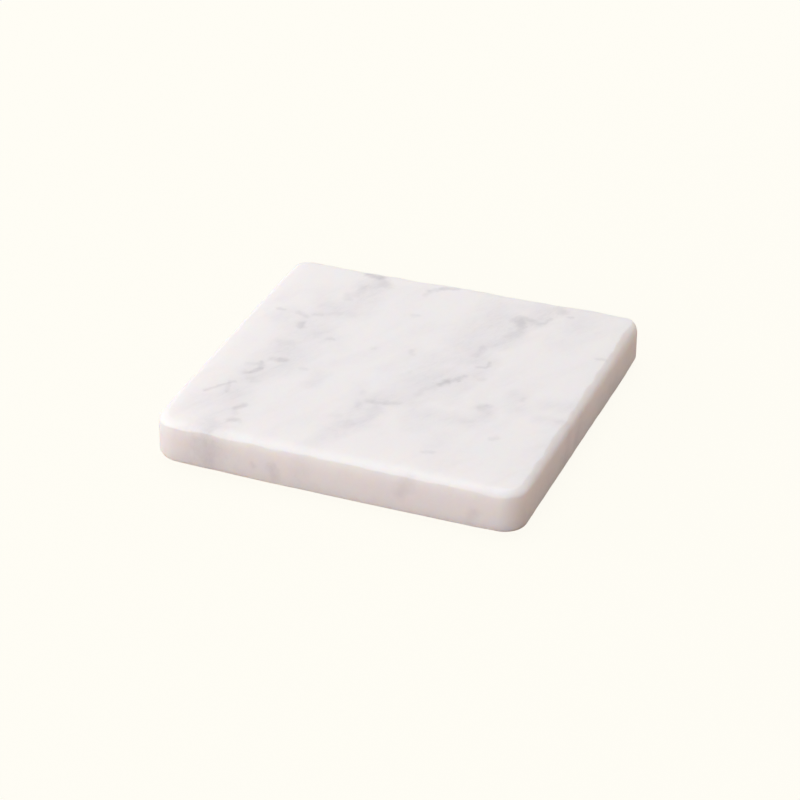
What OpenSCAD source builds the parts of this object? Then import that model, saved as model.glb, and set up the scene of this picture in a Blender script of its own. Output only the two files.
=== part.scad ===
// Square stone drink coaster: one slab with rounded corners and eased edges,
// standing on four clear stick-on feet. Millimetres, +Z up.
// The origin is the middle of the footprint, on the surface that the feet stand on,
// and the front side faces -Y.

/* [Slab] */
// Width of the slab, left to right
slab_width = 100; // [80:1:130]
// Depth of the slab, front to back
slab_depth = 100; // [80:1:130]
// Thickness of the stone
slab_thickness = 11.5; // [8:0.5:20]
// Radius of the four upright corners
corner_radius = 5.5; // [4:0.5:12]
// Radius of the eased edge round the top face
top_edge_radius = 2.1; // [0.5:0.1:3]
// Radius of the eased edge round the underside
bottom_edge_radius = 0.8; // [0.3:0.1:2]

/* [Feet] */
// Diameter of each foot
foot_diameter = 10; // [6:0.5:14]
// Height of each foot, without its adhesive
foot_height = 1; // [0.8:0.1:3]
// Radius of the rounded rim round the face that the foot stands on
foot_rim_radius = 0.4; // [0.1:0.05:0.6]
// Distance from the slab's sides to the centre of each foot
foot_inset = 14; // [12:0.5:25]

/* [Adhesive discs] */
// Thickness of the adhesive disc between foot and stone
adhesive_thickness = 0.15; // [0.1:0.05:0.5]
// How far the adhesive disc stops short of the foot's rim
adhesive_margin = 0.3; // [0.1:0.05:1]

/* [Hidden] */
$fn = 96;

// Signs of the four foot places
left = -1;
right = 1;
front = -1;
rear = 1;

// Lengths of the straight stretches between the rounded corners
straight_width = slab_width - 2 * corner_radius;
straight_depth = slab_depth - 2 * corner_radius;
// Height of the slab's underside above the table
slab_base = foot_height + adhesive_thickness;
// Height of the adhesive disc's lower face, on top of the foot
adhesive_base = foot_height;
adhesive_diameter = foot_diameter - 2 * adhesive_margin;
// Distance of the foot centres from the middle of the slab
foot_x = slab_width / 2 - foot_inset;
foot_y = slab_depth / 2 - foot_inset;

// Section through the slab's rim: its outer face stands at x = corner_radius,
// with the underside at y = 0, and both outer corners are rounded
module rim_section() {
    intersection() {
        square([corner_radius, slab_thickness]);
        union() {
            square([corner_radius - top_edge_radius, slab_thickness]);
            translate([0, bottom_edge_radius])
                square([corner_radius, slab_thickness - bottom_edge_radius - top_edge_radius]);
            square([corner_radius - bottom_edge_radius, slab_thickness - top_edge_radius]);
            translate([corner_radius - top_edge_radius, slab_thickness - top_edge_radius])
                circle(r = top_edge_radius);
            translate([corner_radius - bottom_edge_radius, bottom_edge_radius])
                circle(r = bottom_edge_radius);
        }
    }
}

// One upright corner: the rim turned a quarter of the way round
module rim_corner() {
    rotate_extrude(angle = 90)
        rim_section();
}

// A straight stretch of rim, facing +X, with its middle at y = 0
module rim_side(length) {
    translate([0, length / 2, 0])
        rotate([90, 0, 0])
            linear_extrude(height = length)
                rim_section();
}

module stone_slab() {
    color("#ece7e6")
    translate([0, 0, slab_base])
        union() {
            translate([-straight_width / 2, -straight_depth / 2, 0])
                cube([straight_width, straight_depth, slab_thickness]);
            for (end = [front, rear])
                rotate([0, 0, end * 90])
                    translate([straight_depth / 2, 0, 0])
                        rim_side(straight_width);
            for (side = [left, right])
                rotate([0, 0, 90 - side * 90])
                    translate([straight_width / 2, 0, 0])
                        rim_side(straight_depth);
            translate([straight_width / 2, straight_depth / 2, 0])
                rim_corner();
            translate([-straight_width / 2, straight_depth / 2, 0])
                rotate([0, 0, 90])
                    rim_corner();
            translate([-straight_width / 2, -straight_depth / 2, 0])
                rotate([0, 0, 180])
                    rim_corner();
            translate([straight_width / 2, -straight_depth / 2, 0])
                rotate([0, 0, 270])
                    rim_corner();
        }
}

// Half section of a foot: flat on both faces, with a rounded rim where it stands
module foot_section() {
    foot_radius = foot_diameter / 2;
    intersection() {
        square([foot_radius, foot_height]);
        union() {
            square([foot_radius - foot_rim_radius, foot_height]);
            translate([0, foot_rim_radius])
                square([foot_radius, foot_height - foot_rim_radius]);
            translate([foot_radius - foot_rim_radius, foot_rim_radius])
                circle(r = foot_rim_radius);
        }
    }
}

module foot(side, end) {
    color("#dfe3e2")
    translate([side * foot_x, end * foot_y, 0])
        rotate_extrude()
            foot_section();
}

module adhesive_disc(side, end) {
    color("#f3f1ea")
    translate([side * foot_x, end * foot_y, adhesive_base])
        cylinder(h = adhesive_thickness, d = adhesive_diameter);
}

stone_slab();
foot(left, front);  // foot_front_left
foot(right, front);  // foot_front_right
foot(left, rear);  // foot_rear_left
foot(right, rear);  // foot_rear_right
adhesive_disc(left, front);  // adhesive_front_left
adhesive_disc(right, front);  // adhesive_front_right
adhesive_disc(left, rear);  // adhesive_rear_left
adhesive_disc(right, rear);  // adhesive_rear_right
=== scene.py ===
import math

import bmesh
import bpy
from mathutils import Matrix, Vector, noise


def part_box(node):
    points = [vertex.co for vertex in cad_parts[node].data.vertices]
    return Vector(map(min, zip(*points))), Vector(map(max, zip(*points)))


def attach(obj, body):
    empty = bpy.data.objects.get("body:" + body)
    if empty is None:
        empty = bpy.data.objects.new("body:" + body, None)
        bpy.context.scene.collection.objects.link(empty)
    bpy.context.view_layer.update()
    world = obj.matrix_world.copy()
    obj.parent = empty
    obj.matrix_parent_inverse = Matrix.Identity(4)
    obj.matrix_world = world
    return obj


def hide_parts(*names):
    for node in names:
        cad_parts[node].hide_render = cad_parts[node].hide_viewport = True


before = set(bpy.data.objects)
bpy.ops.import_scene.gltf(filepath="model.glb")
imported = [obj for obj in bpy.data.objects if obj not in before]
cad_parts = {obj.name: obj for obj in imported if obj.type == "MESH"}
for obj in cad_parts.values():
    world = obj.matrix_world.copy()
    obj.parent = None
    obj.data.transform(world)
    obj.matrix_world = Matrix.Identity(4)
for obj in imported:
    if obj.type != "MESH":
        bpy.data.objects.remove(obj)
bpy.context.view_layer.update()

MM = 0.001
# Points nearer to each other than this lie in the same place
SAME_PLACE = 0.001 * MM

# The slab's roundings, near to the part's own drawing. The upright corners aren't quite
# alike, and each is named by its sides: left is -1 and right 1, front is -1 and rear 1.
CORNER_RADII = {(-1, -1): 7.2 * MM, (1, -1): 6.0 * MM, (1, 1): 3.5 * MM, (-1, 1): 5.8 * MM}
TOP_EDGE_RADIUS = 2.1 * MM
BOTTOM_EDGE_RADIUS = 0.8 * MM

# How many faces each rounding takes
CORNER_FACES = 18
TOP_EDGE_FACES = 12
BOTTOM_EDGE_FACES = 5

# Spacing of the mesh lines across the slab and down its sides
GRID_PITCH = 1.2 * MM
# One more mesh line runs round the level faces, this far inside their rim and found within
# this slack. The crisper the rim starts the closer the line comes to it, by this factor, down
# to this share of its distance.
RIM_LINE = 0.9 * MM
RIM_LINE_SLACK = 0.09 * MM
RIM_LINE_PULL = 2
RIM_LINE_LEAST_SHARE = 0.15
# How far the lines down the sides stay from the top and the underside, clear of the easing
WALL_LINES_BELOW_TOP = 6.2 * MM
WALL_LINES_ABOVE_UNDERSIDE = 2.8 * MM
# A point up to this many radii in from a rim belongs to its rounding
RIM_REACH = 1.02
# A face whose normal rises or falls by at least this much lies level
LEVEL_ENOUGH = 0.999

# The eased edges, going round the slab by the direction from its middle in degrees (0 is
# right, 90 rear and -90 front): how far in the easing starts on the level face, how far it
# comes down the side, both in mm, and its starting angle in degrees. 90 starts it level, and
# less leaves a crisp line there.
TOP_EASING = [
    (-180, 1.5, 1.2, 90), (-152, 1.7, 1.4, 90), (-138, 2.4, 1.8, 76), (-128, 2.8, 1.25, 82),
    (-116, 3.2, 1.1, 90), (-95, 3.3, 1.2, 90), (-60, 3.0, 1.3, 90), (-52, 2.4, 1.6, 88),
    (-44, 1.8, 1.7, 66), (-36, 1.7, 2.1, 45), (-18, 1.75, 2.4, 34), (-8, 1.6, 2.2, 34),
    (10, 1.75, 2.6, 34), (30, 1.75, 2.9, 34), (38, 2.0, 3.9, 36), (43, 1.6, 3.6, 48),
    (47, 1.1, 2.2, 65), (51, 0.9, 1.0, 80), (56, 0.9, 0.9, 90), (64, 1.6, 1.6, 90),
    (80, 1.8, 1.8, 90), (94, 2.0, 2.0, 90), (108, 3.2, 3.2, 90), (127, 3.5, 3.5, 90),
    (132, 3.3, 3.2, 90), (138, 2.0, 1.6, 90), (144, 1.6, 1.2, 90), (180, 1.5, 1.2, 90)]
UNDERSIDE_EASING = [
    (-180, 0.8, 0.8, 90), (-150, 1.1, 1.1, 90), (-136, 1.6, 1.5, 90), (-126, 1.2, 1.1, 90),
    (-108, 0.6, 0.6, 90), (-90, 0.45, 0.45, 90), (-55, 0.4, 0.4, 90), (-45, 0.8, 0.9, 90),
    (-34, 0.5, 1.8, 90), (8, 0.5, 2.0, 90), (24, 0.45, 1.2, 90), (36, 0.5, 1.0, 90),
    (46, 1.3, 1.5, 90), (56, 0.8, 0.8, 90), (180, 0.8, 0.8, 90)]
# How far the two widths wander either way, in mm, and over what length. The underside's
# wander by this share of it.
LEVEL_WOBBLE = 0.6
SIDE_WOBBLE = 0.6
UNDERSIDE_WOBBLE_SHARE = 0.3
WOBBLE_LENGTH = 4.6 * MM
# By how many degrees the starting angle can be less, and over what length that changes
START_WOBBLE = 14
START_LENGTH = 13 * MM
# Seeds of these three
LEVEL_SEED = 3.1
SIDE_SEED = 7.7
START_SEED = 5.3
# How far the top face falls away at its rim, at most, and over what distance
ROLL_OFF_DEPTH = 0.07 * MM
ROLL_OFF_REACH = 4 * MM

SLAB_LOW, SLAB_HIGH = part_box("stone_slab")


# Helpers that make pieces

def new_piece(name, mesh_data, material):
    """A finished piece at the origin, with smooth shading and one material."""
    mesh = bpy.data.meshes.new(name)
    mesh_data.to_mesh(mesh)
    mesh_data.free()
    mesh.shade_smooth()
    mesh.materials.append(material)
    piece = bpy.data.objects.new(name, mesh)
    bpy.context.scene.collection.objects.link(piece)
    return piece


def box_mesh(low, high):
    """A plain block between two corners."""
    block = bmesh.new()
    bmesh.ops.create_cube(block, size=1)
    bmesh.ops.scale(block, vec=high - low, verts=block.verts)
    bmesh.ops.translate(block, vec=(low + high) / 2, verts=block.verts)
    return block


def round_over(mesh, edges, radius, faces):
    """Rounds these edges to a radius."""
    bmesh.ops.bevel(mesh, geom=edges, offset=radius, segments=faces, profile=0.5,
                    affect="EDGES", material=-1)


def edges_at_height(mesh, height):
    """The edges that lie at one height."""
    return [e for e in mesh.edges if all(abs(v.co.z - height) < SAME_PLACE for v in e.verts)]


def many_sided(mesh):
    """The faces with more than four corners."""
    return [f for f in mesh.faces if len(f.verts) > 4]


def cut_across(mesh, axis, places):
    """Cuts lines through the mesh, square to an axis, and leaves both sides."""
    square = Vector([float(k == axis) for k in range(3)])
    for place in places:
        geom = mesh.verts[:] + mesh.edges[:] + mesh.faces[:]
        bmesh.ops.bisect_plane(mesh, geom=geom, dist=SAME_PLACE, plane_co=square * place,
                               plane_no=square)


def even_places(start, end, pitch):
    """Places from start to end, both counted, no further apart than the pitch."""
    steps = math.ceil((end - start) / pitch)
    return [start + (end - start) * k / steps for k in range(steps + 1)]


# The slab

def wander(place, length, seed):
    """A smooth random value from 0 to 1 that changes over that length."""
    shift = Vector((seed, -seed, seed))
    return min(1, max(0, 0.5 + 0.5 * noise.noise(place / length + shift)))


def rim_place(point):
    """How far in from the slab's outline a point is, and the way out from there."""
    side_x = 1 if point.x > 0 else -1
    side_y = 1 if point.y > 0 else -1
    radius = CORNER_RADII[side_x, side_y]
    inner_x = side_x * min(abs(point.x), SLAB_HIGH.x - radius)
    inner_y = side_y * min(abs(point.y), SLAB_HIGH.y - radius)
    out = Vector((point.x - inner_x, point.y - inner_y, 0))
    return radius - out.length, out.normalized()


def easing_towards(point, table):
    """The three values of an easing table in the direction of a point, softly blended."""
    bearing = math.degrees(math.atan2(point.y, point.x))
    for (start, *first), (end, *last) in zip(table, table[1:]):
        if bearing <= end:
            along = (bearing - start) / (end - start)
            along *= along * (3 - 2 * along)
            return [low + (high - low) * along for low, high in zip(first, last)]


def ease_rim(slab, height, radius, table, wobble):
    """Gives a rim the uneven width that a hand stone leaves, crisp where it starts steeply."""
    outward = 1 if height > SLAB_LOW.z else -1
    for vert in slab.verts:
        inset, way_out = rim_place(vert.co)
        drop = outward * (height - vert.co.z)
        on_line = drop < SAME_PLACE and abs(inset - radius - RIM_LINE) < RIM_LINE_SLACK
        if max(inset, drop) > radius * RIM_REACH and not on_line:
            continue
        station = vert.co + way_out * inset
        station.z = height
        level, side, start = easing_towards(station, table)
        level += wobble * LEVEL_WOBBLE * (2 * wander(station, WOBBLE_LENGTH, LEVEL_SEED) - 1)
        side += wobble * SIDE_WOBBLE * (2 * wander(station, WOBBLE_LENGTH, SIDE_SEED) - 1)
        start -= START_WOBBLE * wander(station, START_LENGTH, START_SEED)
        start = math.radians(start)
        lean = start * math.acos(min(1, max(0, 1 - inset / radius))) / math.radians(90)
        new_inset = level * MM * (1 - math.cos(lean)) / (1 - math.cos(start))
        new_drop = side * MM * (1 - math.sin(lean) / math.sin(start))
        if on_line:
            kept_share = 1 - RIM_LINE_PULL * math.cos(start)
            new_inset += RIM_LINE * max(RIM_LINE_LEAST_SHARE, kept_share)
        vert.co += way_out * (inset - new_inset)
        vert.co.z = height - outward * new_drop


def roll_off_top(slab):
    """Lets the top face fall away by a hair towards its rim."""
    for vert in slab.verts:
        if vert.co.z < SLAB_HIGH.z - TOP_EDGE_RADIUS / 2:
            continue
        side = min(SLAB_HIGH.x - abs(vert.co.x), SLAB_HIGH.y - abs(vert.co.y))
        near = max(0, 1 - (side - TOP_EDGE_RADIUS) / ROLL_OFF_REACH)
        fall = ROLL_OFF_DEPTH * wander(vert.co, START_LENGTH, START_SEED)
        vert.co.z -= fall * min(1, near) ** 2


def honed_slab(material):
    """The stone: a block with rounded corners, a soft rim above and a small one below."""
    slab = box_mesh(SLAB_LOW, SLAB_HIGH)
    for (side_x, side_y), radius in CORNER_RADII.items():
        upright = [e for e in slab.edges if all(v.co.x * side_x > SLAB_HIGH.x - SAME_PLACE
                                                and v.co.y * side_y > SLAB_HIGH.y - SAME_PLACE
                                                for v in e.verts)]
        round_over(slab, upright, radius, CORNER_FACES)
    round_over(slab, edges_at_height(slab, SLAB_HIGH.z), TOP_EDGE_RADIUS, TOP_EDGE_FACES)
    round_over(slab, edges_at_height(slab, SLAB_LOW.z), BOTTOM_EDGE_RADIUS, BOTTOM_EDGE_FACES)
    level_faces = [f for f in many_sided(slab) if abs(f.normal.z) > LEVEL_ENOUGH]
    bmesh.ops.inset_region(slab, faces=level_faces, thickness=RIM_LINE)
    reach_x = SLAB_HIGH.x - max(CORNER_RADII.values())
    reach_y = SLAB_HIGH.y - max(CORNER_RADII.values())
    cut_across(slab, 0, even_places(-reach_x, reach_x, GRID_PITCH)[1:-1])
    cut_across(slab, 1, even_places(-reach_y, reach_y, GRID_PITCH)[1:-1])
    wall_low = SLAB_LOW.z + WALL_LINES_ABOVE_UNDERSIDE
    wall_high = SLAB_HIGH.z - WALL_LINES_BELOW_TOP
    cut_across(slab, 2, even_places(wall_low, wall_high, GRID_PITCH))
    ease_rim(slab, SLAB_HIGH.z, TOP_EDGE_RADIUS, TOP_EASING, 1.0)
    ease_rim(slab, SLAB_LOW.z, BOTTOM_EDGE_RADIUS, UNDERSIDE_EASING, UNDERSIDE_WOBBLE_SHARE)
    roll_off_top(slab)
    piece = new_piece("honed_slab", slab, material)
    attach(piece, "root")
    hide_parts("stone_slab")


# The feet and their adhesive

# How many flat sides the circle of a foot or a film has
ROUND_SIDES = 72
# The roundings where the foot stands and at its top, and how many faces each takes
FOOT_RIM_RADIUS = 0.4 * MM
FOOT_RIM_FACES = 6
FOOT_TOP_ROUNDING = 0.06 * MM
FOOT_TOP_FACES = 2
# How much smaller the foot's radius is at its top, and how deep its standing face is dished
FOOT_DRAFT = 0.05 * MM
FOOT_DISH = 0.05 * MM
# Widths of the two rings, from the rim inwards, over which the standing face is dished
FOOT_DISH_RINGS = (0.5 * MM, 1.6 * MM)
# How far in the film's cut edge wanders, over what length, and its seed
FILM_WANDER = 0.09 * MM
FILM_WANDER_LENGTH = 1.1 * MM
FILM_SEED = 2.2
FILM_EDGE_ROUNDING = 0.02 * MM
FILM_EDGE_FACES = 2


def disc_mesh(low, high):
    """An upright disc that fills the box between two corners."""
    disc = bmesh.new()
    radius = (high.x - low.x) / 2
    bmesh.ops.create_cone(disc, cap_ends=True, segments=ROUND_SIDES, radius1=radius,
                          radius2=radius, depth=high.z - low.z)
    bmesh.ops.translate(disc, vec=(low + high) / 2, verts=disc.verts)
    return disc


def level_caps(mesh, height):
    """The many-sided faces that lie level at one height."""
    return [f for f in many_sided(mesh) if abs(f.verts[0].co.z - height) < SAME_PLACE]


def moulded_foot(corner, material):
    """A clear foot: rounded where it stands, a little narrower at its top, and dished."""
    low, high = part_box("foot_" + corner)
    foot = disc_mesh(low, high)
    middle = (low + high) / 2
    radius = (high.x - low.x) / 2
    top_verts = [v for v in foot.verts if v.co.z > middle.z]
    draft = (radius - FOOT_DRAFT) / radius
    bmesh.ops.scale(foot, vec=(draft, draft, 1), verts=top_verts,
                    space=Matrix.Translation(-middle))
    round_over(foot, edges_at_height(foot, low.z), FOOT_RIM_RADIUS, FOOT_RIM_FACES)
    round_over(foot, edges_at_height(foot, high.z), FOOT_TOP_ROUNDING, FOOT_TOP_FACES)
    for ring in FOOT_DISH_RINGS:
        face = min(level_caps(foot, low.z) + level_caps(foot, low.z + FOOT_DISH / 2),
                   key=lambda cap: cap.calc_area())
        bmesh.ops.inset_region(foot, faces=[face], thickness=ring)
        bmesh.ops.translate(foot, vec=(0, 0, FOOT_DISH / 2), verts=face.verts)
    bmesh.ops.poke(foot, faces=many_sided(foot))
    piece = new_piece("moulded_foot_" + corner, foot, material)
    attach(piece, "root")
    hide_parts("foot_" + corner)


def film_disc(corner, material):
    """A disc of adhesive film. Its cut edge is not quite true."""
    low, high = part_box("adhesive_" + corner)
    film = disc_mesh(low, high)
    middle = (low + high) / 2
    for height in (low.z, high.z):
        round_over(film, edges_at_height(film, height), FILM_EDGE_ROUNDING, FILM_EDGE_FACES)
    for vert in film.verts:
        out = (vert.co - middle) * Vector((1, 1, 0))
        uneven = FILM_WANDER * wander(out + middle, FILM_WANDER_LENGTH, FILM_SEED)
        vert.co -= out.normalized() * uneven
    bmesh.ops.poke(film, faces=many_sided(film))
    piece = new_piece("film_disc_" + corner, film, material)
    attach(piece, "root")
    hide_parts("adhesive_" + corner)


# Helpers that make materials

# A noise or a cell's value runs from 0 to 1, round this middle
MIDDLE = 0.5
# Places of a colour mix's sockets. They share their names with those of its other kinds.
MIX_FACTOR = 0
MIX_FIRST = 6
MIX_SECOND = 7
MIX_RESULT = 2


def add(tree, kind, **settings):
    """A new node in a tree, with its settings."""
    made = tree.nodes.new("ShaderNode" + kind)
    for name, value in settings.items():
        setattr(made, name, value)
    return made


def feed(tree, socket, value):
    """Links an output to a socket, or sets the socket where the value is a plain one."""
    if isinstance(value, bpy.types.NodeSocket):
        tree.links.new(value, socket)
    else:
        socket.default_value = value


def maths(tree, operation, *values):
    """One sum on values."""
    made = add(tree, "Math", operation=operation)
    for socket, value in zip(made.inputs, values):
        feed(tree, socket, value)
    return made.outputs[0]


def vectors(tree, operation, *values):
    """One sum on vectors. A dot product or a distance comes out as a value."""
    made = add(tree, "VectorMath", operation=operation)
    for socket, value in zip(made.inputs, values):
        feed(tree, socket, value)
    single = operation in ("DOT_PRODUCT", "DISTANCE", "LENGTH")
    return made.outputs["Value" if single else "Vector"]


def scaled(tree, vector, factor):
    """A vector times a value."""
    made = add(tree, "VectorMath", operation="SCALE")
    feed(tree, made.inputs["Vector"], vector)
    feed(tree, made.inputs["Scale"], factor)
    return made.outputs["Vector"]


def spread(tree, value, low, high, new_low=0.0, new_high=1.0):
    """Carries a range of a value over to another range, with soft ends."""
    made = add(tree, "MapRange", interpolation_type="SMOOTHSTEP", clamp=False)
    for name, setting in (("Value", value), ("From Min", low), ("From Max", high),
                          ("To Min", new_low), ("To Max", new_high)):
        feed(tree, made.inputs[name], setting)
    return made.outputs["Result"]


def off_middle(tree, value):
    """How far a value of 0 to 1 lies off its middle."""
    return maths(tree, "SUBTRACT", value, MIDDLE)


def blend_colours(tree, factor, first, second):
    """Two colours mixed by a factor."""
    made = add(tree, "Mix", data_type="RGBA", blend_type="MIX")
    feed(tree, made.inputs[MIX_FACTOR], factor)
    feed(tree, made.inputs[MIX_FIRST], first)
    feed(tree, made.inputs[MIX_SECOND], second)
    return made.outputs[MIX_RESULT]


def blend_shaders(tree, factor, first, second):
    """Two shader nodes mixed by a factor, as one node."""
    made = add(tree, "MixShader")
    for socket, value in zip(made.inputs, (factor, first.outputs[0], second.outputs[0])):
        feed(tree, socket, value)
    return made


def place_in_mm(tree):
    """The place on the object, in mm."""
    return scaled(tree, add(tree, "TexCoord").outputs["Object"], 1 / MM)


def parts_of(tree, vector):
    """A vector's parts, by the name of their axis."""
    split = add(tree, "SeparateXYZ")
    feed(tree, split.inputs[0], vector)
    return split.outputs


def emboss(tree, surface, height, strength, depth):
    """Gives a surface a fine relief by its height."""
    bump = add(tree, "Bump")
    bump.inputs["Strength"].default_value = strength
    bump.inputs["Distance"].default_value = depth
    feed(tree, bump.inputs["Height"], height)
    feed(tree, surface.inputs["Normal"], bump.outputs["Normal"])


def grainy(tree, place, size, detail=2.0, roughness=0.5, distortion=0.0):
    """A noise node whose main lumps are about that size, in the unit of the place."""
    made = add(tree, "TexNoise")
    feed(tree, made.inputs["Vector"], place)
    made.inputs["Scale"].default_value = 1 / size
    made.inputs["Detail"].default_value = detail
    made.inputs["Roughness"].default_value = roughness
    made.inputs["Distortion"].default_value = distortion
    return made


def new_group(name, inputs, outputs):
    """An empty node group with its sockets, and its two end nodes."""
    group = bpy.data.node_groups.new(name, "ShaderNodeTree")
    for label, kind, value in inputs:
        socket = group.interface.new_socket(name=label, in_out="INPUT", socket_type=kind)
        socket.default_value = value
    for label, kind in outputs:
        group.interface.new_socket(name=label, in_out="OUTPUT", socket_type=kind)
    start = group.nodes.new("NodeGroupInput").outputs
    end = group.nodes.new("NodeGroupOutput").inputs
    return group, start, end


def place_group(tree, group, **values):
    """A group placed in a tree, its sockets fed by name with spaces for underscores."""
    made = add(tree, "Group")
    made.node_tree = group
    for name, value in values.items():
        feed(tree, made.inputs[name.replace("_", " ").capitalize()], value)
    return made.outputs


def new_material(name):
    """A material, with its tree and its surface shader."""
    material = bpy.data.materials.new(name)
    material.use_nodes = True
    tree = material.node_tree
    return material, tree, tree.nodes["Principled BSDF"]


def srgb(red, green, blue):
    """A colour as a picture gives it, 0 to 255, in the shader's own scale. The bare numbers
    are those of the sRGB standard."""
    def straight(level):
        level = level / 255
        return level / 12.92 if level <= 0.04045 else ((level + 0.055) / 1.055) ** 2.4
    return (straight(red), straight(green), straight(blue), 1.0)


# The stone's grey veins

# All their places and sizes are in millimetres.
# Hazes are the broad soft bands, and flecks are the small darker marks in them. Each is a
# stroke in the top face, from one point (across, back) to another, with its half width and
# how grey it is, 0 to 1. Hazes go down through the stone as sheets, and flecks end sooner.
LEFT_HAZE = [
    ((-27.0, 47.0), (-25.0, 41.0), 4.4, 0.11),
    ((-23.5, 40.0), (-24.0, 24.0), 4.6, 0.16),
    ((-36.0, 31.0), (-34.0, 26.0), 3.6, 0.08),
    ((-30.0, 23.0), (-28.5, 11.0), 5.4, 0.12),
    ((-39.5, 18.5), (-41.5, 13.0), 3.0, 0.12),
    ((-21.5, 9.0), (-19.5, 3.0), 3.0, 0.06),
    ((-35.0, 11.5), (-32.0, -3.0), 4.8, 0.11),
    ((-26.5, 7.0), (-27.5, -12.0), 4.2, 0.10),
    ((-33.0, -5.0), (-33.5, -17.0), 5.2, 0.15),
    ((-19.0, -11.0), (-18.6, -17.0), 2.6, 0.12),
    ((-35.5, -19.0), (-37.0, -27.0), 5.4, 0.10),
    ((-34.0, -31.0), (-33.5, -54.0), 5.2, 0.13),
    ((-43.0, -34.0), (-43.5, -40.0), 3.2, 0.07),
]
MIDDLE_HAZE = [
    ((25.0, 46.0), (24.0, 39.0), 4.4, 0.22),
    ((12.0, 42.0), (9.5, 19.0), 5.6, 0.15),
    ((16.0, 35.0), (17.0, 27.0), 4.4, 0.11),
    ((21.0, 35.0), (20.0, 22.0), 3.2, 0.19),
    ((15.5, 19.0), (14.0, 10.0), 4.0, 0.16),
    ((19.5, 12.0), (19.0, 4.0), 2.8, 0.13),
    ((7.5, 8.0), (5.5, -5.0), 4.4, 0.15),
    ((-1.0, 9.0), (-3.0, -2.0), 3.4, 0.07),
    ((13.5, 0.0), (8.0, -14.0), 4.2, 0.17),
    ((18.0, 3.0), (17.5, -12.0), 2.8, 0.09),
    ((3.5, -6.0), (1.0, -17.0), 4.2, 0.11),
    ((-7.0, -13.0), (-6.0, -18.0), 2.6, 0.07),
    ((0.0, -19.0), (0.0, -30.0), 4.2, 0.16),
    ((-4.5, -22.0), (-6.5, -31.0), 2.8, 0.09),
    ((-3.0, -34.0), (-7.5, -48.0), 3.0, 0.11),
]
RIGHT_HAZE = [
    ((33.0, 46.0), (34.0, 40.0), 4.2, 0.11),
    ((39.0, 42.0), (35.0, 28.0), 5.0, 0.08),
    ((33.0, -3.0), (34.0, -9.0), 3.2, 0.12),
    ((41.0, -4.0), (54.0, -3.0), 3.0, 0.10),
    ((42.0, -12.0), (54.0, -11.0), 2.4, 0.11),
    ((27.0, -12.5), (28.5, -16.0), 2.8, 0.18),
    ((15.0, -20.0), (26.0, -20.5), 3.4, 0.13),
    ((9.0, -19.0), (13.5, -27.0), 3.6, 0.11),
    ((20.0, -26.0), (25.0, -42.0), 5.0, 0.05),
]
HAZES = LEFT_HAZE + MIDDLE_HAZE + RIGHT_HAZE

LEFT_FLECKS = [
    ((-28.5, 46.4), (-24.5, 45.8), 1.4, 0.55),
    ((-24.0, 45.0), (-21.5, 42.0), 1.8, 0.30),
    ((-26.2, 38.6), (-26.4, 33.6), 1.3, 0.26),
    ((-28.6, 32.5), (-27.9, 30.6), 1.3, 0.26),
    ((-31.0, 19.6), (-28.0, 21.2), 1.6, 0.18),
    ((-33.5, 18.2), (-31.4, 19.0), 0.8, 0.26),
    ((-37.6, 18.0), (-34.6, 16.3), 0.8, 0.30),
    ((-43.1, 18.4), (-41.7, 18.3), 0.8, 0.28),
    ((-34.7, 12.7), (-33.6, 10.6), 1.1, 0.46),
    ((-24.3, 6.8), (-23.0, 7.0), 0.8, 0.24),
    ((-36.0, 0.9), (-32.4, 1.5), 1.4, 0.16),
    ((-31.8, -8.4), (-30.6, -8.1), 1.1, 0.52),
    ((-34.4, -8.9), (-32.2, -8.6), 1.0, 0.22),
    ((-36.1, -11.6), (-34.8, -14.4), 0.8, 0.42),
    ((-34.8, -14.8), (-36.1, -17.4), 0.8, 0.36),
    ((-37.2, -17.9), (-36.0, -17.4), 1.0, 0.34),
    ((-38.8, -13.2), (-37.6, -12.8), 0.9, 0.20),
    ((-34.5, -20.5), (-32.5, -21.5), 1.5, 0.14),
    ((-38.6, -24.0), (-38.0, -23.6), 0.8, 0.34),
    ((-38.7, -24.6), (-37.4, -29.5), 0.5, 0.26),
    ((-38.9, -25.0), (-43.2, -31.2), 0.6, 0.38),
    ((-30.7, -34.4), (-32.1, -36.3), 1.1, 0.46),
    ((-31.6, -37.6), (-31.0, -39.5), 0.9, 0.16),
    ((-30.8, -42.4), (-29.7, -42.1), 1.0, 0.46),
    ((-34.6, -44.5), (-34.0, -48.5), 1.6, 0.14),
]
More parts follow.
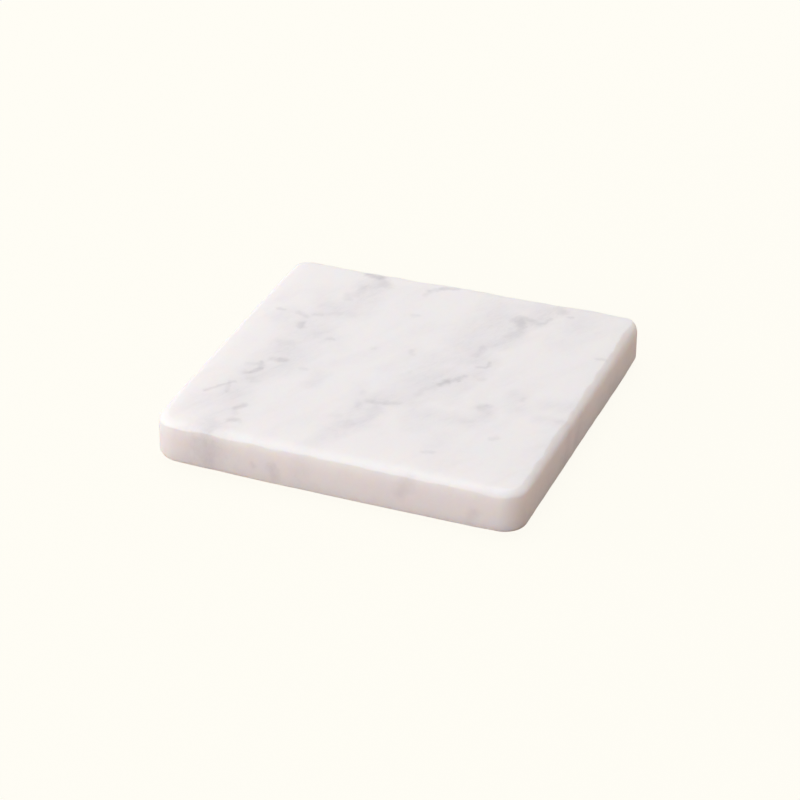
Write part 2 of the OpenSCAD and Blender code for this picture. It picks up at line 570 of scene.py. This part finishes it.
MIDDLE_FLECKS = [
    ((27.5, 47.6), (29.0, 45.5), 1.4, 0.30),
    ((27.4, 40.4), (26.4, 37.4), 0.7, 0.34),
    ((22.4, 37.4), (25.6, 36.5), 1.2, 0.34),
    ((19.8, 37.6), (21.0, 34.4), 1.5, 0.50),
    ((18.0, 36.3), (19.2, 35.0), 1.0, 0.30),
    ((21.6, 33.0), (22.0, 28.0), 1.3, 0.26),
    ((20.1, 29.2), (19.3, 26.6), 1.0, 0.24),
    ((16.2, 18.2), (15.2, 13.6), 1.4, 0.24),
    ((20.0, 11.6), (20.3, 9.4), 0.6, 0.36),
    ((19.9, 8.7), (17.9, 7.7), 0.7, 0.34),
    ((21.6, 1.9), (21.3, 1.2), 0.9, 0.22),
    ((16.4, 1.6), (15.4, -0.3), 1.1, 0.46),
    ((14.8, -0.8), (13.2, -2.4), 1.0, 0.50),
    ((13.2, -2.6), (11.8, -4.4), 1.1, 0.54),
    ((11.2, -4.9), (9.6, -7.6), 1.2, 0.22),
    ((8.9, -8.8), (8.5, -12.2), 1.1, 0.16),
    ((5.3, -18.3), (2.8, -19.2), 1.0, 0.26),
    ((2.4, -19.5), (0.2, -20.6), 0.9, 0.24),
    ((-0.9, -20.0), (-2.0, -20.4), 1.0, 0.27),
    ((1.6, -22.5), (1.2, -26.5), 1.4, 0.16),
    ((-4.8, -16.2), (-4.9, -17.4), 1.0, 0.14),
    ((-3.6, -22.8), (-3.2, -24.4), 1.0, 0.16),
    ((-7.4, -30.2), (-6.4, -29.6), 1.2, 0.14),
    ((-2.2, -32.6), (-2.8, -34.6), 1.2, 0.14),
]
RIGHT_FLECKS = [
    ((31.6, 43.3), (32.4, 43.6), 0.8, 0.32),
    ((45.8, 24.0), (47.8, 24.2), 0.8, 0.24),
    ((34.2, -3.6), (34.4, -5.2), 0.8, 0.22),
    ((46.6, -11.4), (48.4, -11.0), 0.9, 0.16),
    ((26.8, -10.9), (26.2, -11.9), 1.5, 0.32),
    ((27.5, -13.2), (28.4, -14.3), 1.4, 0.13),
    ((24.6, -20.4), (26.0, -19.8), 1.2, 0.14),
    ((33.6, -26.4), (34.7, -25.6), 0.9, 0.26),
    ((20.0, -39.0), (22.4, -38.3), 0.7, 0.26),
    ((-24.7, -10.8), (-23.5, -10.4), 0.8, 0.22),
]
REAR_FLECKS = [
    ((-2.4, 47.7), (-6.3, 46.2), 0.9, 0.42),
    ((-6.8, 45.5), (-8.6, 43.4), 1.1, 0.28),
    ((-8.7, 43.0), (-9.2, 40.5), 0.9, 0.20),
    ((-8.2, 28.1), (-7.0, 28.6), 1.0, 0.24),
    ((-11.3, 6.6), (-10.6, 6.8), 0.8, 0.18),
    ((-1.3, 9.4), (-0.4, 7.4), 0.8, 0.26),
    ((2.2, -1.0), (2.4, -1.6), 0.7, 0.12),
]
FLECKS = LEFT_FLECKS + MIDDLE_FLECKS + RIGHT_FLECKS + REAR_FLECKS

# Marks that show on the slab's sides. Each has two points (across, back, up from the
# underside), its half width and how grey it is.
SIDE_MARKS = [
    ((-34.4, -50.0, 11.6), (-33.0, -50.0, 1.6), 4.2, 0.22),
    ((-34.8, -50.0, 10.4), (-34.4, -50.0, 8.4), 1.9, 0.12),
    ((-33.4, -50.0, 4.4), (-34.4, -50.0, 2.4), 1.6, 0.20),
    ((-21.6, -50.0, 5.0), (-21.2, -50.0, 4.6), 0.8, 0.22),
    ((-16.4, -50.0, 5.4), (-15.6, -50.0, 2.8), 1.3, 0.26),
    ((-5.4, -50.0, 3.0), (-5.0, -50.0, 2.6), 0.9, 0.08),
    ((20.6, -50.0, 9.2), (18.6, -50.0, 5.6), 1.9, 0.24),
    ((37.8, -50.0, 4.0), (37.0, -50.0, 1.4), 1.5, 0.20),
    # These four long bands run along the right side, three of them close to the underside, so
    # that side is greyer towards the bottom
    ((50.0, -38.0, 7.5), (50.0, -3.0, 6.5), 4.8, 0.11),
    ((50.0, -42.0, 1.0), (50.0, -14.0, 1.6), 3.2, 0.15),
    ((50.0, -13.0, 1.6), (50.0, 18.0, 0.8), 3.4, 0.12),
    ((50.0, 16.0, 1.8), (50.0, 29.0, 1.8), 3.6, 0.16),
    ((50.0, -18.0, 3.6), (50.0, -14.5, 1.6), 1.7, 0.18),
    ((50.0, -7.0, 3.6), (50.0, -5.4, 1.6), 1.5, 0.20),
    ((50.0, 23.5, 4.2), (50.0, 27.0, 2.2), 1.9, 0.18),
    ((-50.0, 12.0, 8.4), (-50.0, 14.5, 5.0), 1.7, 0.22),
    ((-50.0, -27.0, 6.4), (-50.0, -29.0, 3.2), 1.5, 0.28),
    ((-26.0, 50.0, 8.4), (-25.0, 50.0, 4.6), 1.9, 0.32),
    ((9.0, 50.0, 5.4), (10.4, 50.0, 3.0), 1.4, 0.22),
]


# Effects that the materials share

# A stroke is gone at this many half widths from its middle line
STROKE_REACH = 1.7
# How much each part of a cell's random colour counts in its value
CELL_SHARES = (0.34, 0.33, 0.33)
# Distances from a cell's middle at which it is lowest and highest, in cells
CELL_SLOPE = (0.8, 0.1)
# The ways that scratches lie, how they are drawn out, and the noise at which one starts and
# is at its deepest
SCRATCH_TURNS = [math.radians(turn) for turn in (12, 71, 133)]
SCRATCH_STRETCH = (0.12, 2.4, 1.0)
SCRATCH_LEVELS = (0.64, 0.74)
# Size of the dull patches, times that of the scuffs, and the noise at which one starts and
# is at its dullest
DULL_PATCH = 2.4
DULL_LEVELS = (0.38, 0.66)


def vein_stroke_group():
    """Adds one soft stroke to the grey so far, its rim frayed by the ragged value."""
    group, start, end = new_group(
        "Vein stroke",
        [("Place", "NodeSocketVector", (0, 0, 0)), ("Start", "NodeSocketVector", (0, 0, 0)),
         ("End", "NodeSocketVector", (1, 0, 0)), ("Half width", "NodeSocketFloat", 1.0),
         ("Ragged", "NodeSocketFloat", 1.0), ("Greyness", "NodeSocketFloat", 0.5),
         ("Grey so far", "NodeSocketFloat", 0.0)],
        [("Grey", "NodeSocketFloat")])
    from_start = vectors(group, "SUBTRACT", start["Place"], start["Start"])
    along = vectors(group, "SUBTRACT", start["End"], start["Start"])
    reached = vectors(group, "DOT_PRODUCT", from_start, along)
    whole = vectors(group, "DOT_PRODUCT", along, along)
    share = maths(group, "DIVIDE", reached, whole)
    share = maths(group, "MINIMUM", maths(group, "MAXIMUM", share, 0.0), 1.0)
    nearest = scaled(group, along, share)
    away = vectors(group, "DISTANCE", from_start, nearest)
    widths = maths(group, "DIVIDE", away, start["Half width"])
    widths = maths(group, "MULTIPLY", widths, start["Ragged"])
    stroke = spread(group, widths, STROKE_REACH, 0.0)
    stroke = maths(group, "MULTIPLY", stroke, start["Greyness"])
    room = maths(group, "SUBTRACT", 1.0, start["Grey so far"])
    feed(group, end["Grey"], maths(group, "MULTIPLY_ADD", stroke, room, start["Grey so far"]))
    return group


def fine_grain_group():
    """Tiny cells: a value per cell, and a height that dips between them."""
    group, start, end = new_group(
        "Fine grain",
        [("Place", "NodeSocketVector", (0, 0, 0)), ("Size", "NodeSocketFloat", 0.5)],
        [("Cell", "NodeSocketFloat"), ("Height", "NodeSocketFloat")])
    cells = add(group, "TexVoronoi", feature="F1")
    feed(group, cells.inputs["Vector"], start["Place"])
    feed(group, cells.inputs["Scale"], maths(group, "DIVIDE", 1.0, start["Size"]))
    feed(group, end["Cell"], vectors(group, "DOT_PRODUCT", cells.outputs["Color"], CELL_SHARES))
    feed(group, end["Height"], spread(group, cells.outputs["Distance"], *CELL_SLOPE))
    return group


def scuffs_group():
    """Rub marks: short fine scratches that lie every way, and a patchy dullness."""
    group, start, end = new_group(
        "Scuffs",
        [("Place", "NodeSocketVector", (0, 0, 0)), ("Size", "NodeSocketFloat", 1.0)],
        [("Scratch", "NodeSocketFloat"), ("Dullness", "NodeSocketFloat")])
    place = scaled(group, start["Place"], maths(group, "DIVIDE", 1.0, start["Size"]))
    scratch = 0.0
    for turn in SCRATCH_TURNS:
        turned = add(group, "Mapping")
        feed(group, turned.inputs["Vector"], place)
        turned.inputs["Rotation"].default_value = (0, 0, turn)
        turned.inputs["Scale"].default_value = SCRATCH_STRETCH
        lines = grainy(group, turned.outputs[0], 1.0, detail=3.0, roughness=0.6)
        line = spread(group, lines.outputs["Fac"], *SCRATCH_LEVELS)
        scratch = maths(group, "MAXIMUM", line, scratch)
    feed(group, end["Scratch"], scratch)
    patches = grainy(group, place, DULL_PATCH, detail=4.0, roughness=0.6)
    feed(group, end["Dullness"], spread(group, patches.outputs["Fac"], *DULL_LEVELS))
    return group


VEIN_STROKE = vein_stroke_group()
FINE_GRAIN = fine_grain_group()
SCUFFS = scuffs_group()


# The marble

# How far the veins wander off their strokes and over what length, broadly and finely
VEIN_WANDER = 1.3
VEIN_WANDER_LENGTH = 9.0
FINE_WANDER = 0.45
FINE_WANDER_LENGTH = 1.6
# How far the veins' sheets lean for each unit of depth
VEIN_LEAN = (0.10, 0.22, 0.0)
# Depth below the top at which flecks have gone, and at which they start to go
FLECK_END = 4.6
FLECK_FADE = 1.2
# Direction of the stone's bedding, seen from above, and how its lumps are drawn out: less
# than 1 makes them longer
BEDDING_TURN = math.radians(-64)
BEDDING_STRETCH = (0.35, 1, 0.6)
# Sizes of the lumps that fray the flecks, of the streaks, threads and clouds along the
# bedding, of the mottle and of the crystals
FRAY_SIZE = 1.9
STREAK_SIZE = 2.6
THREAD_SIZE = 3.6
CLOUD_SIZE = 8.0
MOTTLE_SIZE = 1.5
CRYSTAL_SIZE = 0.5
# A noise becomes a factor that is 1 on average: what it is multiplied by, and its least value
FACTOR_SWING = 1.5
FACTOR_LEAST = 0.25
# How far off the noise's middle a thread ends, and the noise at which a cloud starts and is
# full
THREAD_REACH = 0.05
CLOUD_LEVELS = (0.44, 0.70)
# How much each of these adds to the grey
CLOUD_SHARE = 0.06
THREAD_SHARE = 0.45
MOTTLE_SHARE = 0.07
CRYSTAL_SHARE = 0.04
# Depths below the top between which the look of the underside comes in
UNDERSIDE_DEPTHS = (10.2, 11.2)
# Roughness of the honed stone, and how much the crystals, the mottle and the underside add
HONED_ROUGHNESS = 0.40
CRYSTAL_ROUGHNESS = 0.10
MOTTLE_ROUGHNESS = 0.06
UNDERSIDE_ROUGHNESS = 0.25
# How much the crystals, the mottle and the underside's saw lines count in the relief
CRYSTAL_RELIEF = 0.12
MOTTLE_RELIEF = 0.35
SAW_RELIEF = 0.8
# How close the saw lines lie, and how deep the whole relief goes
SAW_SCALE = 0.22
MARBLE_RELIEF_DEPTH = 0.03 * MM
# How far red, green and blue light spread in the stone, as factors of a depth
LIGHT_SPREAD = (0.74, 0.56, 0.42)
LIGHT_DEPTH = 10.0 * MM

GROUND_WHITE = srgb(241, 238, 241)
HAZE_GREY = srgb(196, 194, 204)
FLECK_GREY = srgb(198, 195, 201)


def swayed(tree, place, reach, length, detail):
    """How far a place is pushed about by a noise, the same way each time."""
    sway = grainy(tree, place, length, detail=detail, roughness=0.58)
    sway = vectors(tree, "SUBTRACT", sway.outputs["Color"], (MIDDLE, MIDDLE, MIDDLE))
    return scaled(tree, sway, 2 * reach)


def uneven_factor(tree, lumps):
    """A noise node's value as a factor that is 1 on average."""
    return maths(tree, "MULTIPLY_ADD", lumps.outputs["Fac"], FACTOR_SWING, FACTOR_LEAST)


def strokes(tree, table, place, ragged, grey):
    """Lays a table of strokes on the grey so far. A point with no height is at height 0."""
    for first, last, half_width, greyness in table:
        grey = place_group(tree, VEIN_STROKE, place=place, start=(*first, 0)[:3],
                           end=(*last, 0)[:3], half_width=half_width, ragged=ragged,
                           greyness=greyness, grey_so_far=grey)["Grey"]
    return grey


def marble():
    """Honed white marble with soft grey veins. The pattern runs through the stone in mm."""
    material, tree, surface = new_material("honed marble")
    place = place_in_mm(tree)
    depth = maths(tree, "SUBTRACT", SLAB_HIGH.z / MM, parts_of(tree, place)["Z"])

    # Where the veins are looked up: pushed about a little, broadly and finely
    sway = swayed(tree, place, VEIN_WANDER, VEIN_WANDER_LENGTH, 3.0)
    sway = vectors(tree, "ADD", sway, swayed(tree, place, FINE_WANDER, FINE_WANDER_LENGTH, 2.0))
    pushed = vectors(tree, "ADD", place, sway)
    in_top = vectors(tree, "ADD", pushed, scaled(tree, VEIN_LEAN, depth))
    in_top = vectors(tree, "MULTIPLY", in_top, (1, 1, 0))
    above_underside = vectors(tree, "SUBTRACT", pushed, (0, 0, SLAB_LOW.z / MM))
    ragged = uneven_factor(tree, grainy(tree, place, FRAY_SIZE, detail=3.0, roughness=0.6))

    # Streaks and threads run along the bedding
    bedding = add(tree, "Mapping")
    feed(tree, bedding.inputs["Vector"], place)
    bedding.inputs["Rotation"].default_value = (0, 0, BEDDING_TURN)
    stretched = vectors(tree, "MULTIPLY", bedding.outputs[0], BEDDING_STRETCH)
    streaks = grainy(tree, stretched, STREAK_SIZE, detail=4.0, roughness=0.6, distortion=0.3)
    streak = uneven_factor(tree, streaks)
    ridge = grainy(tree, stretched, THREAD_SIZE, detail=4.0, roughness=0.6, distortion=0.5)
    off_ridge = maths(tree, "ABSOLUTE", off_middle(tree, ridge.outputs["Fac"]))
    thread = spread(tree, off_ridge, THREAD_REACH, 0.0)

    haze = strokes(tree, HAZES, in_top, 1.0, 0.0)
    bands = grainy(tree, stretched, CLOUD_SIZE, detail=3.0, roughness=0.55)
    cloud = spread(tree, bands.outputs["Fac"], *CLOUD_LEVELS)
    haze = maths(tree, "MULTIPLY_ADD", cloud, CLOUD_SHARE, haze)
    haze = maths(tree, "MULTIPLY", haze, streak)
    threads = maths(tree, "MULTIPLY", maths(tree, "MULTIPLY", thread, haze), THREAD_SHARE)

    fleck = strokes(tree, FLECKS, in_top, ragged, 0.0)
    fleck = maths(tree, "MULTIPLY", fleck, spread(tree, depth, FLECK_END, FLECK_FADE))
    fleck = strokes(tree, SIDE_MARKS, above_underside, ragged, fleck)
    fleck = maths(tree, "MULTIPLY_ADD", fleck, streak, threads)

    mottle = grainy(tree, place, MOTTLE_SIZE, detail=3.0, roughness=0.6).outputs["Fac"]
    crystals = place_group(tree, FINE_GRAIN, place=place, size=CRYSTAL_SIZE)
    soft = maths(tree, "MULTIPLY_ADD", off_middle(tree, mottle), MOTTLE_SHARE, haze)
    soft = maths(tree, "MULTIPLY_ADD", off_middle(tree, crystals["Cell"]), CRYSTAL_SHARE, soft)
    colour = blend_colours(tree, soft, GROUND_WHITE, HAZE_GREY)
    colour = blend_colours(tree, fleck, colour, FLECK_GREY)
    feed(tree, surface.inputs["Base Color"], colour)

    # The sheen breaks up a little from crystal to crystal, and the underside stays dull
    under = spread(tree, depth, *UNDERSIDE_DEPTHS)
    rough = maths(tree, "MULTIPLY_ADD", crystals["Cell"], CRYSTAL_ROUGHNESS, HONED_ROUGHNESS)
    rough = maths(tree, "MULTIPLY_ADD", mottle, MOTTLE_ROUGHNESS, rough)
    rough = maths(tree, "MULTIPLY_ADD", under, UNDERSIDE_ROUGHNESS, rough)
    feed(tree, surface.inputs["Roughness"], rough)

    # Relief: crystal edges, and saw lines on the underside
    saw = add(tree, "TexWave", bands_direction="X")
    feed(tree, saw.inputs["Vector"], place)
    saw.inputs["Scale"].default_value = SAW_SCALE
    saw.inputs["Distortion"].default_value = 1.5
    saw.inputs["Detail"].default_value = 2.0
    saw_lines = maths(tree, "MULTIPLY", under, saw.outputs["Fac"])
    relief = maths(tree, "MULTIPLY", crystals["Height"], CRYSTAL_RELIEF)
    relief = maths(tree, "MULTIPLY_ADD", mottle, MOTTLE_RELIEF, relief)
    relief = maths(tree, "MULTIPLY_ADD", saw_lines, SAW_RELIEF, relief)
    emboss(tree, surface, relief, strength=0.35, depth=MARBLE_RELIEF_DEPTH)

    surface.inputs["Subsurface Weight"].default_value = 1.0
    surface.inputs["Subsurface Radius"].default_value = LIGHT_SPREAD
    surface.inputs["Subsurface Scale"].default_value = LIGHT_DEPTH
    surface.inputs["IOR"].default_value = 1.5
    return material


# The feet's rubber

# Heights above the table, in mm, between which the foot's wear comes in
WEAR_HEIGHTS = (0.35, 0.05)
# Sizes of the scuffs and of the milky clouds, in mm
SCUFF_SIZE = 0.8
MILK_SIZE = 2.2
MILKY_RUBBER = srgb(238, 242, 241)
CLEAR_RUBBER = srgb(250, 251, 249)
LINT_GREY = srgb(205, 200, 192)
LINT_SHARE = 0.45
# Roughness of the clear rubber, and how much wear and scratches add
RUBBER_ROUGHNESS = 0.14
WORN_ROUGHNESS = 0.30
SCRATCH_ROUGHNESS = 0.18
SCRATCH_DEPTH = 0.02 * MM


def clear_rubber():
    """Clear, slightly milky cast rubber, scuffed where it stands, with lint caught on it."""
    material, tree, surface = new_material("clear cast rubber")
    place = place_in_mm(tree)
    standing = spread(tree, parts_of(tree, place)["Z"], *WEAR_HEIGHTS)
    scuffs = place_group(tree, SCUFFS, place=place, size=SCUFF_SIZE)
    scratches = maths(tree, "MULTIPLY", scuffs["Scratch"], standing)
    milk = grainy(tree, place, MILK_SIZE, detail=3.0, roughness=0.55)
    worn = maths(tree, "MULTIPLY", scuffs["Dullness"], standing)
    colour = blend_colours(tree, milk.outputs["Fac"], MILKY_RUBBER, CLEAR_RUBBER)
    lint = maths(tree, "MULTIPLY", worn, LINT_SHARE)
    feed(tree, surface.inputs["Base Color"], blend_colours(tree, lint, colour, LINT_GREY))
    rough = maths(tree, "MULTIPLY_ADD", worn, WORN_ROUGHNESS, RUBBER_ROUGHNESS)
    rough = maths(tree, "MULTIPLY_ADD", scratches, SCRATCH_ROUGHNESS, rough)
    feed(tree, surface.inputs["Roughness"], rough)
    emboss(tree, surface, scratches, strength=0.4, depth=SCRATCH_DEPTH)
    surface.inputs["Transmission Weight"].default_value = 0.72
    surface.inputs["IOR"].default_value = 1.49
    return material


# The adhesive's film

# Sizes of the bubbles and of the patches in which they lie, in mm
BUBBLE_SIZE = 0.35
FILM_PATCH = 1.8
# A cell holds a bubble where its value is past these levels
BUBBLE_LEVELS = (0.62, 0.72)
FILM_CREAM = srgb(240, 237, 228)
FILM_PALE = srgb(247, 246, 240)
BUBBLE_WHITE = srgb(253, 253, 251)
# Roughness of the film, and how much a bubble adds
FILM_ROUGHNESS = 0.5
BUBBLE_ROUGHNESS = 0.2
BUBBLE_DEPTH = 0.01 * MM


def tacky_film():
    """Thin adhesive film, nearly colourless, with tiny air bubbles pressed into it."""
    material, tree, surface = new_material("tacky film")
    place = place_in_mm(tree)
    bubbles = place_group(tree, FINE_GRAIN, place=place, size=BUBBLE_SIZE)
    patches = grainy(tree, place, FILM_PATCH, detail=3.0, roughness=0.55).outputs["Fac"]
    trapped = spread(tree, bubbles["Cell"], *BUBBLE_LEVELS)
    trapped = maths(tree, "MULTIPLY", trapped, patches)
    colour = blend_colours(tree, patches, FILM_CREAM, FILM_PALE)
    feed(tree, surface.inputs["Base Color"], blend_colours(tree, trapped, colour, BUBBLE_WHITE))
    rough = maths(tree, "MULTIPLY_ADD", trapped, BUBBLE_ROUGHNESS, FILM_ROUGHNESS)
    feed(tree, surface.inputs["Roughness"], rough)
    emboss(tree, surface, bubbles["Height"], strength=0.5, depth=BUBBLE_DEPTH)
    return material


# The stage

FLOOR_CREAM = srgb(255, 253, 245)
FLOOR_SPAN = 8.0
# How much of a shadow the floor takes, and between which distances from its middle that fades
SHADOW_SHARE = 0.045
SHADOW_FADE = (0.12, 0.4)
# The floor's colour in the light that it throws back on the coaster
BOUNCE_TAN = (0.325, 0.145, 0.07, 1.0)
# A painted glow: a strip of the floor under the slab's front edge gives off light of its own.
# Only the stone sees it, and it lights the slab's lower front edge. It comes in and goes out
# over these stretches, in mm, going to the front and across.
PAINTED_GLOW_STRENGTH = 0.30
PAINTED_GLOW_COLOUR = (1.0, 0.92, 0.78, 1.0)
GLOW_STARTS = (-36.0, -46.0)
GLOW_STOPS = (-52.5, -49.0)
GLOW_LEFT = (-60.0, -50.0)
GLOW_RIGHT = (50.0, 40.0)
# The light that comes from all round
AIR_LEVEL = 0.452
AIR_COLOUR = (1.0, 0.953, 0.916, 1.0)
# Each softbox: its name, where it stands, its width, its height, its power in watts and
# its colour
SOFTBOXES = [
    ("overhead softbox", (-0.20, 0.35, 1.15), 0.8, 0.8, 4.6, (0.99, 1.0, 1.0)),
    ("front softbox", (-0.22, -1.15, 0.30), 0.7, 0.5, 5.5, (0.90, 0.985, 1.0)),
    ("left softbox", (-1.0, -0.25, 0.35), 0.7, 0.5, 4.2, (1.0, 1.0, 1.0)),
    ("right softbox", (0.85, 0.65, 0.45), 0.5, 0.5, 1.2, (1.0, 0.93, 0.82)),
    ("rear softbox", (-0.66, 1.00, 0.22), 0.7, 0.4, 0.55, (1.0, 1.0, 1.0)),
]
SLAB_MIDDLE = (SLAB_LOW + SLAB_HIGH) / 2


def show_apart(tree, shown, thrown, end):
    """Ends a tree with one shader for what is seen, also in a sheen or through a foot, and
    another for the light that it throws."""
    rays = add(tree, "LightPath").outputs
    seen = maths(tree, "MAXIMUM", rays["Is Camera Ray"], rays["Is Glossy Ray"])
    seen = maths(tree, "MAXIMUM", seen, rays["Is Transmission Ray"])
    both = blend_shaders(tree, seen, thrown, shown)
    feed(tree, tree.nodes[end].inputs["Surface"], both.outputs[0])


def floor_material():
    """A pale floor. The camera sees its cream with a light shadow on it, and the stone the
    light that it throws back, with a painted glow under the slab's front edge."""
    material, tree, surface = new_material("pale floor")
    tree.nodes.remove(surface)
    reach = vectors(tree, "LENGTH", add(tree, "TexCoord").outputs["Object"])
    glow_share = spread(tree, reach, *SHADOW_FADE, 1 - SHADOW_SHARE, 1.0)
    glow = add(tree, "Emission")
    glow.inputs["Color"].default_value = FLOOR_CREAM
    matt = add(tree, "BsdfDiffuse")
    matt.inputs["Color"].default_value = FLOOR_CREAM
    bounce = add(tree, "BsdfDiffuse")
    bounce.inputs["Color"].default_value = BOUNCE_TAN
    spot = parts_of(tree, place_in_mm(tree))
    # The painted glow: this strip of the floor under the front edge gives off light of its own,
    # which only the stone sees
    painted_glow_level = PAINTED_GLOW_STRENGTH
    for axis, stretch in (("Y", GLOW_STARTS), ("Y", GLOW_STOPS),
                          ("X", GLOW_LEFT), ("X", GLOW_RIGHT)):
        inside = spread(tree, spot[axis], *stretch)
        painted_glow_level = maths(tree, "MULTIPLY", inside, painted_glow_level)
    painted_glow = add(tree, "Emission")
    painted_glow.inputs["Color"].default_value = PAINTED_GLOW_COLOUR
    feed(tree, painted_glow.inputs["Strength"], painted_glow_level)
    thrown = add(tree, "AddShader")
    feed(tree, thrown.inputs[0], bounce.outputs[0])
    feed(tree, thrown.inputs[1], painted_glow.outputs[0])
    shown = blend_shaders(tree, glow_share, matt, glow)
    show_apart(tree, shown, thrown, "Material Output")
    return material


def floor():
    """A wide level floor under the coaster."""
    sheet = bmesh.new()
    bmesh.ops.create_grid(sheet, x_segments=1, y_segments=1, size=FLOOR_SPAN / 2)
    mesh = bpy.data.meshes.new("floor")
    sheet.to_mesh(mesh)
    sheet.free()
    mesh.materials.append(floor_material())
    made = bpy.data.objects.new("floor", mesh)
    bpy.context.scene.collection.objects.link(made)


def studio_air():
    """Even light from all round, with the floor's cream behind the object."""
    world = bpy.data.worlds.new("studio")
    world.use_nodes = True
    tree = world.node_tree
    backdrop = tree.nodes["Background"]
    backdrop.inputs["Color"].default_value = FLOOR_CREAM
    air = add(tree, "Background")
    air.inputs["Color"].default_value = AIR_COLOUR
    air.inputs["Strength"].default_value = AIR_LEVEL
    show_apart(tree, backdrop, air, "World Output")
    bpy.context.scene.world = world


def facing(place, target):
    """The matrix of a lamp at a place, turned to a target."""
    back = (place - target).normalized()
    turn = back.to_track_quat("Z", "Y").to_matrix().to_4x4()
    return Matrix.Translation(place) @ turn


def softbox(name, place, width, height, power, colour):
    """A rectangular lamp that faces the coaster."""
    lamp = bpy.data.lights.new(name, "AREA")
    lamp.shape = "RECTANGLE"
    lamp.size = width
    lamp.size_y = height
    lamp.energy = power
    lamp.color = colour
    made = bpy.data.objects.new(name, lamp)
    made.matrix_world = facing(Vector(place), SLAB_MIDDLE)
    bpy.context.scene.collection.objects.link(made)


# The camera's place, found from the slab's outline in the photograph
CAMERA_TURN = math.radians(20.70)
CAMERA_HEIGHT = math.radians(29.60)
CAMERA_ROLL = math.radians(0.815)
CAMERA_DISTANCE = 766.0 * MM
CAMERA_TARGET = SLAB_MIDDLE + Vector((1.83, -6.95, 0)) * MM
# Its focal length and sensor width in mm, and how far it sees, in metres
CAMERA_LENS = 131.6
CAMERA_SENSOR = 36.0
CAMERA_SIGHT = 20.0


def photographer():
    """The camera, at the photograph's viewing angle."""
    back = Vector((math.sin(CAMERA_TURN) * math.cos(CAMERA_HEIGHT),
                   -math.cos(CAMERA_TURN) * math.cos(CAMERA_HEIGHT),
                   math.sin(CAMERA_HEIGHT)))
    lens = bpy.data.cameras.new("camera")
    lens.lens = CAMERA_LENS
    lens.sensor_width = CAMERA_SENSOR
    lens.clip_end = CAMERA_SIGHT
    made = bpy.data.objects.new("camera", lens)
    level_right = Vector((math.cos(CAMERA_TURN), math.sin(CAMERA_TURN), 0))
    level_up = back.cross(level_right)
    turn = Matrix((level_right, level_up, back)).transposed().to_4x4()
    roll = Matrix.Rotation(CAMERA_ROLL, 4, "Z")
    made.matrix_world = Matrix.Translation(CAMERA_TARGET + back * CAMERA_DISTANCE) @ turn @ roll
    bpy.context.scene.collection.objects.link(made)
    bpy.context.scene.camera = made


photographer()
honed_slab(marble())
rubber = clear_rubber()
film = tacky_film()
for corner in ("front_left", "front_right", "rear_left", "rear_right"):
    moulded_foot(corner, rubber)
    film_disc(corner, film)
floor()
studio_air()
for box in SOFTBOXES:
    softbox(*box)
bpy.context.scene.view_settings.view_transform = "Standard"
